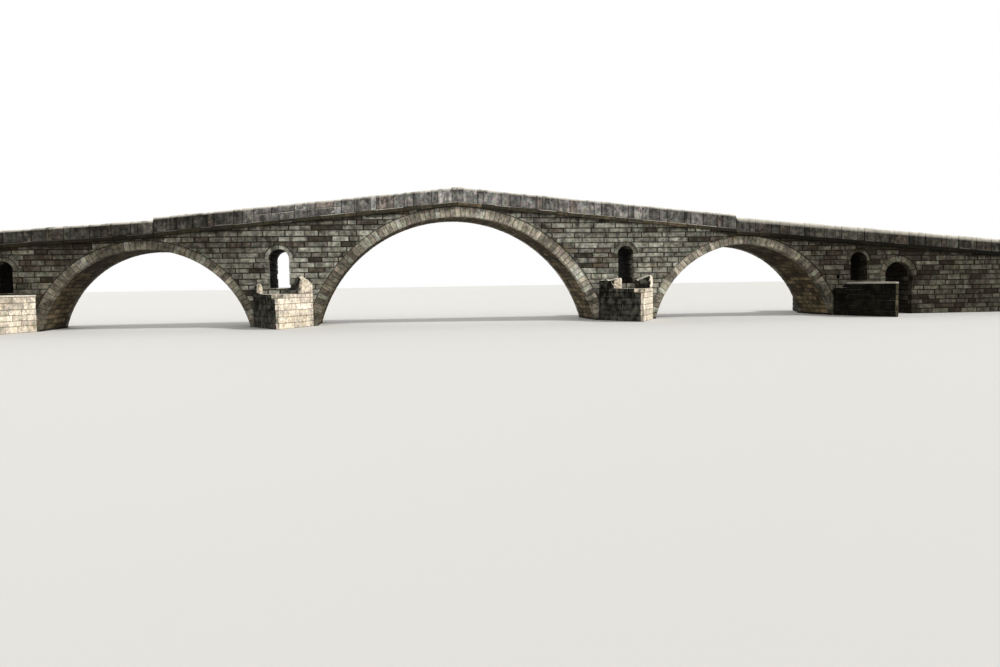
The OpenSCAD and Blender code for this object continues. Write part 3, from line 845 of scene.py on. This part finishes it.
def upright_faces(copy, low, high):
    """Tall upright faces across the bridge inside a node: (x, direction, foot, head)."""
    found = {}
    for face in copy.data.polygons:
        x = face.center.x
        if abs(face.normal.x) < FLAT or min(abs(x - low.x), abs(x - high.x)) < TINY:
            continue
        heights = [copy.data.vertices[i].co.z for i in face.vertices]
        key = (round(x, 4), round(face.normal.x))
        old = found.get(key, (math.inf, -math.inf))
        found[key] = (min(old[0], *heights), max(old[1], *heights))
    return [(x, way, foot, head) for (x, way), (foot, head) in found.items() if head - foot > TALL]


def lining(node, core, s, rng):
    """Stones on the upright faces, sill and vault of the openings inside a node.

    The core's own faces there are set back by the depth of a joint.
    """
    low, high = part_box(node)
    inner = WALL_Y - s.stone_d
    fields = []
    co = points_of(core)
    for x, way, foot, head in upright_faces(core, low, high):
        boxes = bonded_courses(-inner, inner, foot, head, s.course_h, s.stone_l, s.stone_d, s, rng)
        place = facing_right(x) if way > 0 else facing_left(x)
        fields.append(lay(node + "_jamb", boxes, place, s, rng))
        on_face = (np.abs(co[:, 0] - x) < TINY) & (co[:, 2] < head + TINY)
        co[on_face, 0] -= way * s.joint_d
    ring = WALL_NODES[node]
    if ring:
        centre_x, spring_z, half = window_of(ring)
        near = np.abs(co[:, 0] - centre_x) < half + s.joint_d + TINY
        sill_z = co[near & (co[:, 2] > SILL_LEAST)][:, 2].min()
        boxes = bonded_courses(-half, half, -inner, inner, 2 * half, s.stone_l, s.stone_d / 2, s, rng)
        sill = lambda u, w, v: stack(centre_x + u, v, sill_z - w)
        fields.append(lay(node + "_sill", boxes, sill, s, rng))
        boxes = vault_boxes(half, math.pi / 2, -inner, inner, s.stone_d / 2, s, rng)
        fields.append(lay(node + "_head", boxes, round_vault(centre_x, spring_z, half), s, rng))
        co[near & (np.abs(co[:, 2] - sill_z) < TINY), 2] -= s.joint_d
        off_x, off_z = co[:, 0] - centre_x, co[:, 2] - spring_z
        on_head = (np.abs(np.hypot(off_x, off_z) - half) < TINY) & (off_z > TINY)
        co[on_head, 0] += off_x[on_head] / half * s.joint_d
        co[on_head, 2] += off_z[on_head] / half * s.joint_d
    move_points(core, co)
    return fields


def open_ring_joints(cutter, width):
    """Moves the curved faces over an arch's ring into the wall, which opens a joint there."""
    push = np.zeros((len(cutter.data.vertices), 3))
    for face in cutter.data.polygons:
        n = face.normal
        if abs(n.y) < SQUARE and abs(n.x) < FLAT and n.z < 0.0:
            for i in face.vertices:
                push[i] -= n
    size = np.linalg.norm(push, axis=1)
    moved = size > 0
    co = points_of(cutter)
    co[moved] += push[moved] / size[moved, None] * width
    move_points(cutter, co)


def ashlar_wall(node, s, rng):
    """Front, back and end faces of ashlar over a core, cut to the outline of the node."""
    low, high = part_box(node)
    cutter = merged_copy(node)
    core = merged_copy(node)
    open_ring_joints(cutter, s.back_joint)
    fields = []
    inner = WALL_Y - s.stone_d
    faces = [(front, low.x, high.x, ROAD_BED_TOP), (back, -high.x, -low.x, ROAD_BED_TOP)]
    if high.x > END_X - TINY:
        faces.append((facing_right(END_X), -inner, inner, high.z))
    if low.x < -END_X + TINY:
        faces.append((facing_left(-END_X), -inner, inner, high.z))
    for place, u0, u1, top in faces:
        boxes = bonded_courses(u0, u1, 0.0, top, s.course_h, s.stone_l, s.stone_d, s, rng)
        fields.append(lay(node + "_field", [b for b in boxes if b[2] < high.z], place, s, rng))
    wall = join(*fields)
    apply_modifier(wall, "BOOLEAN", operation="INTERSECT", object=cutter, solver="MANIFOLD")
    bpy.data.objects.remove(cutter)
    drop_chips(wall, 2 * s.wear)
    join(wall, *lining(node, core, s, rng))
    mark_stones(wall, rng)
    co = points_of(core)
    for axis, limit in ((1, WALL_Y), (0, END_X)):
        outer = np.abs(co[:, axis]) > limit - TINY
        co[outer, axis] -= np.sign(co[outer, axis]) * s.joint_d
    move_points(core, co)
    return bed_in_mortar(wall, core)


class BRIDGE_OT_walls(Operator):
    """Lays the ashlar of the piers, spandrels and abutments"""
    bl_idname = "bridge.walls"
    bl_label = "Lay Walls"

    def execute(self, context):
        s = context.scene.bridge_masonry
        stone = weathered("limestone_ashlar")
        mortar = old_lime_mortar("old_lime_mortar", context.scene.bridge_colours.mortar)
        for node, rng in seeded(WALL_NODES, s, 0):
            finish_piece(ashlar_wall(node, s, rng), node, "ashlar", "ashlar", stone, mortar)
        return {"FINISHED"}


def wear_stones(obj, node, s, rng, wear, uneven, segments=1):
    """Wears the edges of loose stones, gives their faces rims of dirt and painted shade and makes them
    uneven.
    """
    apply_modifier(obj, "BEVEL", width=wear, segments=segments, limit_method="ANGLE",
                   angle_limit=math.radians(WORN_ANGLE), use_clamp_overlap=False)
    make_active(obj)
    bpy.ops.object.mode_set(mode="EDIT")
    bpy.ops.mesh.select_mode(type="FACE")
    mesh = bmesh.from_edit_mesh(obj.data)
    for face in mesh.faces:
        # A narrow facet of a rounded edge gets no rim
        area = face.calc_area()
        face.select = area > (4 * s.rim) ** 2 and 2 * area > 3 * s.rim * face.calc_perimeter()
    bmesh.update_edit_mesh(obj.data)
    bpy.ops.mesh.inset(thickness=s.rim, depth=0, use_individual=True)
    bpy.ops.object.mode_set(mode="OBJECT")
    write(obj.data, "rim", "POINT", 1.0 - read(obj.data.vertices, "select", 1, bool)[:, 0])
    co = points_of(obj)
    move_points(obj, co + rng.normal(0, uneven, co.shape))
    mark_stones(obj, rng)
    keep_inside(obj, node)


def worn_node(node, s, rng, wear, uneven, set_back, flat_angle=FINE_ANGLE, segments=1):
    """The stones of a CAD node, each set back a little from the next, with worn edges."""
    obj = merged_copy(node, flat_angle)
    number = stone_numbers(obj)
    co = points_of(obj)
    co[:, 1] -= np.sign(co[:, 1]) * rng.uniform(0, set_back, number.max() + 1)[number]
    move_points(obj, co)
    wear_stones(obj, node, s, rng, wear, uneven, segments)
    return obj


class BRIDGE_OT_rings(Operator):
    """Dresses the wedge stones round the arches and the windows"""
    bl_idname = "bridge.rings"
    bl_label = "Dress Ring Stones"

    def execute(self, context):
        s = context.scene.bridge_masonry
        wedge, plain = weathered("limestone_voussoir"), bpy.data.materials["limestone_ashlar"]
        for node, rng in seeded(ARCH_RINGS + WINDOW_RINGS, s, 20):
            flat_angle, stone = (WEDGE_ANGLE, wedge) if node in ARCH_RINGS else (FINE_ANGLE, plain)
            ring = worn_node(node, s, rng, s.wear, RING_UNEVEN, RING_BACK, flat_angle)
            finish_piece(ring, node, "stones", "ring_stone", stone)
        return {"FINISHED"}


def vault_stones(barrel, s, rng):
    """Bonded courses of stones bent to the curve of a vault, over a core."""
    low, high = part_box(barrel)
    core = merged_copy(barrel)
    co = points_of(core)
    centre_x = (low.x + high.x) / 2
    # The ends of the back and its crown give its circle, and the soffit shares its centre
    half = high.x - centre_x
    spring_z = co[np.abs(co[:, 0] - centre_x) > half - TINY][:, 2].mean()
    back_r = (half ** 2 + (high.z - spring_z) ** 2) / (2 * (high.z - spring_z))
    centre_z = high.z - back_r
    radius = np.hypot(co[:, 0] - centre_x, co[:, 2] - centre_z)
    soffit_r = radius.min()
    half_angle = np.abs(np.arctan2(co[:, 0] - centre_x, co[:, 2] - centre_z)).max()
    boxes = vault_boxes(soffit_r, half_angle, low.y, high.y, (back_r - soffit_r) * VAULT_SHARE, s, rng)
    stones = lay(barrel + "_stones", boxes, round_vault(centre_x, centre_z, soffit_r), s, rng)
    mark_stones(stones, rng)
    inner = radius < (soffit_r + back_r) / 2
    grow = s.joint_d / soffit_r
    co[inner, 0] += (co[inner, 0] - centre_x) * grow
    co[inner, 2] += (co[inner, 2] - centre_z) * grow
    move_points(core, co)
    keep_inside(stones, barrel)
    return bed_in_mortar(stones, core)


class BRIDGE_OT_vaults(Operator):
    """Lays the stones of the vaults behind the rings"""
    bl_idname = "bridge.vaults"
    bl_label = "Lay Vaults"

    def execute(self, context):
        s = context.scene.bridge_masonry
        stone = weathered("damp_vault_limestone")
        mortar = bpy.data.materials["old_lime_mortar"]
        for node, rng in seeded(BARRELS, s, 40):
            finish_piece(vault_stones(node, s, rng), node, "stones", "soffit_stone", stone, mortar)
        return {"FINISHED"}


def coping_height(copy, top):
    """Thickness of the projecting coping, or 0 where the cutwater has lost it."""
    heights = {round(face.center.z, 4) for face in copy.data.polygons if face.normal.z < -FLAT}
    under = [z for z in heights if top - COPING_MOST < z < top - TINY]
    return top - min(under) if under else 0.0


def lost_nose(copy, nose_y, top):
    """Length and height of the stone that is missing at the top of the nose, or zeros."""
    floors = [f.center.z for f in copy.data.polygons if f.normal.z > FLAT and f.center.z < top - TINY]
    if not floors:
        return 0.0, 0.0
    backs = [
        abs(f.center.y - nose_y) for f in copy.data.polygons
        if abs(f.normal.y) > FLAT and f.center.z > max(floors)
    ]
    return min(backs), top - max(floors)


def cutwater_boxes(reach, half, height, coping, lost, s, rng):
    """Courses of blocks on both flanks, with nose stones that turn the corner.

    Above the courses comes a coping of this height, or a course whose nose stone is lost.
    """
    lost_l, lost_h = lost
    levels = list(course_levels(0.0, height - coping - lost_h, s.course_h, rng))
    if coping or lost_h:
        levels.append(height)
    gap = s.joint / 2
    boxes = []
    below = {-1: (), 1: ()}
    for z0, z1 in zip(levels[:-1], levels[1:]):
        nose = rng.uniform(*NOSE_SPREAD) * reach
        if lost_h and z1 == height:
            nose = lost_l
        boxes.append((-half, half, z0 + gap, z1 - gap, 0, nose - gap))
        for side in below:
            joints = joints_along(nose, reach, s.stone_l, rng, below[side])
            x0, x1 = (-half, -gap) if side < 0 else (gap, half)
            for a, b in zip(joints[:-1], joints[1:]):
                boxes.append((x0, x1, z0 + gap, z1 - gap, a + gap, b - gap))
            below[side] = joints
    return boxes


def bare_coping(blocks, foot):
    """Frees the coping from the crust and painted shade of the flanks, and paints it bleached and sunlit,
    because the sun still reaches it.
    """
    data = blocks.data
    coping = read(data.polygons, "center")[:, 2] > foot
    for name, value in (("lee", -1.0), ("sky", 1.0)):
        values = read(data.attributes[name].data, "value", 1)[:, 0]
        write(data, name, "FACE", np.where(coping, value, values))


def cutwater_blocks(node, s, rng):
    """A cutwater's blocks, cut to its outline and worn, over a core."""
    low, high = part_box(node)
    middle = (low.x + high.x) / 2
    way = 1 if low.y < 0 else -1
    nose_y = low.y if way > 0 else high.y
    core = merged_copy(node)
    coping = coping_height(core, high.z)
    lost = (0.0, 0.0) if coping else lost_nose(core, nose_y, high.z)
    boxes = cutwater_boxes(high.y - low.y, high.x - low.x, high.z, coping, lost, s, rng)
    place = lambda u, w, v: stack(middle + way * u, nose_y + way * w, v)
    blocks = plain_blocks(node + "_blocks", boxes, place)
    apply_modifier(blocks, "BOOLEAN", operation="INTERSECT", object=core, solver="MANIFOLD")
    with editing(blocks):
        # Corners nearer than a worn edge would fold it
        bpy.ops.mesh.remove_doubles(threshold=s.wear * 0.8)
        bpy.ops.mesh.dissolve_limited(angle_limit=math.radians(CUT_ANGLE))
    drop_chips(blocks, 4 * s.wear)
    wear_stones(blocks, node, s, rng, s.wear, BLOCK_UNEVEN)
    keep_in_form(blocks, core)
    if coping:
        bare_coping(blocks, high.z - coping)
    with editing(core):
        bpy.ops.transform.shrink_fatten(value=-s.joint_d, use_even_offset=True)
    mark_stones(core, rng)
    return bed_in_mortar(blocks, core)


def rubble(node, s, rng):
    """Broken masonry: the CAD form made rough, and crusted with painted shade where it lies out of the sun.
    """
    obj = merged_copy(node)
    apply_modifier(obj, "REMESH", mode="VOXEL", voxel_size=s.rubble, adaptivity=0.0)
    normals = read(obj.data.vertices, "normal")
    co = points_of(obj)
    lumps = np.array([
        sum(strength * noise.noise(Vector(p) * waves) for waves, strength in LUMPS) for p in co
    ])
    # Only dents, so that it stays inside the CAD form, and then fewer and bigger facets
    co += normals * (np.minimum(lumps - LUMP_LEVEL, 0) * DENT * s.rubble)[:, None]
    move_points(obj, co)
    apply_modifier(obj, "DECIMATE", ratio=KEPT)
    mark_stones(obj, rng)
    keep_inside(obj, node)
    # The left of each lump, out of the sun, is crusted with painted shade, and soil clings to all of it
    co = points_of(obj)
    low, high = stone_boxes(obj)
    across = ((co - low) / (high - low))[:, 0]
    waves, strength = RAGGED
    rough = np.array([noise.noise(Vector(p) * waves) for p in co])
    write(obj.data, "lee", "POINT", 1.0 - CAP_NODES[node] - across + strength * rough)
    write(obj.data, "sky", "POINT", read(obj.data.vertices, "normal")[:, 2] * READILY)
    write(obj.data, "rim", "POINT", np.full(len(co), SOILED))
    return obj


class BRIDGE_OT_cutwaters(Operator):
    """Lays the blocks of the cutwaters and roughens the remains of their caps"""
    bl_idname = "bridge.cutwaters"
    bl_label = "Lay Cutwaters"

    def execute(self, context):
        s = context.scene.bridge_masonry
        stone = weathered("cream_cutwater_limestone")
        mortar = old_lime_mortar("sunlit_lime_mortar", context.scene.bridge_colours.lime)
        for node, rng in seeded(CUTWATER_NODES, s, 60):
            finish_piece(cutwater_blocks(node, s, rng), node, "blocks", "cutwater_stone", stone, mortar)
        for node, rng in seeded(CAP_NODES, s, 70):
            finish_piece(rubble(node, s, rng), node, "rubble", "cutwater_stone", stone)
        return {"FINISHED"}


class BRIDGE_OT_cornices(Operator):
    """Dresses the projecting cornice stones"""
    bl_idname = "bridge.cornices"
    bl_label = "Dress Cornices"

    def execute(self, context):
        s = context.scene.bridge_masonry
        stone = weathered("stained_cornice_limestone")
        for node, rng in seeded(CORNICE_NODES, s, 80):
            cornice = worn_node(node, s, rng, SLAB_WEAR, SLAB_UNEVEN, CORNICE_BACK, segments=2)
            finish_piece(cornice, node, "stones", "cornice_stone", stone)
        return {"FINISHED"}


class BRIDGE_OT_parapets(Operator):
    """Dresses the big upright slabs of the parapets"""
    bl_idname = "bridge.parapets"
    bl_label = "Dress Parapets"

    def execute(self, context):
        s = context.scene.bridge_masonry
        stone = weathered("lichened_parapet_limestone")
        for node, rng in seeded(PARAPET_NODES, s, 100):
            slabs = worn_node(node, s, rng, SLAB_WEAR, SLAB_UNEVEN, SLAB_BACK, SLAB_ANGLE)
            # Depth below the top, which is where the highest twentieth of the points start
            co = points_of(slabs)
            drop = bed_height(co[:, 0]) - co[:, 2]
            write(slabs.data, "crest", "POINT", drop - np.quantile(drop, 0.05))
            finish_piece(slabs, node, "slabs", "parapet_stone", stone)
        return {"FINISHED"}


def paved_road(node, s, rng):
    """Bonded rows of paving stones over a core."""
    low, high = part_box(node)
    core = merged_copy(node)
    co = points_of(core)
    end = co[np.abs(co[:, 0]) > np.abs(co[:, 0]).max() - TINY]
    thick = np.ptp(end[:, 2])
    boxes = bonded_courses(low.x, high.x, low.y, high.y, s.paving_w, s.paving_l, s.paving_d, s, rng)
    place = lambda u, w, v: stack(u, v, bed_height(u) + thick - w)
    paving = lay(node + "_stones", boxes, place, s, rng)
    mark_stones(paving, rng)
    top = co[:, 2] > bed_height(co[:, 0]) + thick / 2
    co[top, 2] -= s.joint_d
    move_points(core, co)
    keep_inside(paving, node)
    return bed_in_mortar(paving, core)


class BRIDGE_OT_roads(Operator):
    """Lays the paving of the road"""
    bl_idname = "bridge.roads"
    bl_label = "Lay Road"

    def execute(self, context):
        s = context.scene.bridge_masonry
        stone = weathered("trodden_limestone_paving")
        mortar = bpy.data.materials["old_lime_mortar"]
        for node, rng in seeded(ROAD_NODES, s, 120):
            finish_piece(paved_road(node, s, rng), node, "stones", "paving_stone", stone, mortar)
        return {"FINISHED"}


# The stage

# Side of the square floor, and how far the camera sees
FLOOR_SIZE, SIGHT = 120, 200
# Suns: strength, width of the disc in degrees, and the way toward each
LIGHTS = {
    "key_light": (3.1, 10, (0.74, -0.28, 0.62)),
    "fill_light": (1.0, 60, (0.05, -0.9, 0.4)),
    "back_light": (1.2, 60, (-0.3, 0.8, 0.5)),
}
# Strength of the world's light on the bridge, while it is seen as white
WORLD_LIGHT = 0.35


class ShotSettings(PropertyGroup):
    camera_place: FloatVectorProperty(
        name="Camera", description="Place of the camera, at one tenth", size=3,
        default=(-0.556, -6.523, 0.2888), subtype="XYZ", unit="LENGTH",
    )
    yaw: turn("Yaw", 7.726, "Turn of the camera to the right")
    pitch: turn("Pitch", 3.371, "Tilt of the camera downward")
    roll: turn("Roll", -0.849, "Roll of the camera")
    lens: FloatProperty(name="Lens", description="Focal length", default=31.46, unit="CAMERA")


class BRIDGE_OT_stage(Operator):
    """Sets the camera, the floor and the studio light"""
    bl_idname = "bridge.stage"
    bl_label = "Set Stage"

    def execute(self, context):
        shot = context.scene.bridge_shot
        data = bpy.data.cameras.new("photo_camera")
        data.lens = shot.lens
        data.sensor_width = 36
        data.clip_end = SIGHT
        camera = new_object("photo_camera", data)
        camera.matrix_world = (
            Matrix.Translation(shot.camera_place)
            @ Matrix.Rotation(-shot.yaw, 4, "Z")
            @ Matrix.Rotation(math.radians(90) - shot.pitch, 4, "X")
            @ Matrix.Rotation(shot.roll, 4, "Z")
        )
        context.scene.camera = camera
        deselect_all()
        bpy.ops.mesh.primitive_plane_add(size=FLOOR_SIZE)
        floor = context.object
        floor.name = "floor"
        paper, tree = new_material("pale_floor")
        paint = add(tree, "BsdfPrincipled", Base_Color=linear("#c9c7c2"), Roughness=0.9)
        add(tree, "OutputMaterial", paint)
        floor.data.materials.append(paper)
        for name, (energy, angle, direction) in LIGHTS.items():
            light = bpy.data.lights.new(name, "SUN")
            light.energy = energy
            light.angle = math.radians(angle)
            lamp = new_object(name, light)
            lamp.rotation_euler = Vector(direction).to_track_quat("Z", "Y").to_euler()
        world = bpy.data.worlds.new("studio")
        context.scene.world = world
        world.use_nodes = True
        tree = world.node_tree
        tree.nodes.clear()
        rays = add(tree, "LightPath").node.outputs
        seen = add(tree, "Math", rays["Is Camera Ray"], rays["Is Glossy Ray"], operation="MAXIMUM")
        seen = add(tree, "Math", seen, rays["Is Transmission Ray"], operation="MAXIMUM")
        strength = add(tree, "MapRange", seen, 0.0, 1.0, WORLD_LIGHT, 1.0)
        add(tree, "OutputWorld", add(tree, "Background", (1, 1, 1), strength))
        context.scene.view_settings.view_transform = "Standard"
        return {"FINISHED"}


class BRIDGE_PT_panel(Panel):
    """Sidebar panel with the steps and their settings"""
    bl_label = "Stone Bridge"
    bl_idname = "BRIDGE_PT_panel"
    bl_space_type = "VIEW_3D"
    bl_region_type = "UI"
    bl_category = "Bridge"

    def draw(self, context):
        for operator in OPERATORS:
            self.layout.operator(operator.bl_idname)
        for group, kind in GROUPS.items():
            box = self.layout.box()
            for name in kind.__annotations__:
                box.prop(getattr(context.scene, group), name)


GROUPS = {
    "bridge_masonry": MasonrySettings, "bridge_colours": StoneColours, "bridge_shot": ShotSettings,
}
OPERATORS = (
    BRIDGE_OT_walls, BRIDGE_OT_rings, BRIDGE_OT_vaults, BRIDGE_OT_cutwaters,
    BRIDGE_OT_cornices, BRIDGE_OT_parapets, BRIDGE_OT_roads, BRIDGE_OT_stage,
)
CLASSES = (*GROUPS.values(), *OPERATORS, BRIDGE_PT_panel)


def register():
    for cls in CLASSES:
        bpy.utils.register_class(cls)
    for name, group in GROUPS.items():
        setattr(bpy.types.Scene, name, PointerProperty(type=group))


def unregister():
    for name in GROUPS:
        delattr(bpy.types.Scene, name)
    for cls in reversed(CLASSES):
        bpy.utils.unregister_class(cls)


def main():
    register()
    for name in ("walls", "rings", "vaults", "cutwaters", "cornices", "parapets", "roads", "stage"):
        getattr(bpy.ops.bridge, name)()


if __name__ == "__main__":
    main()
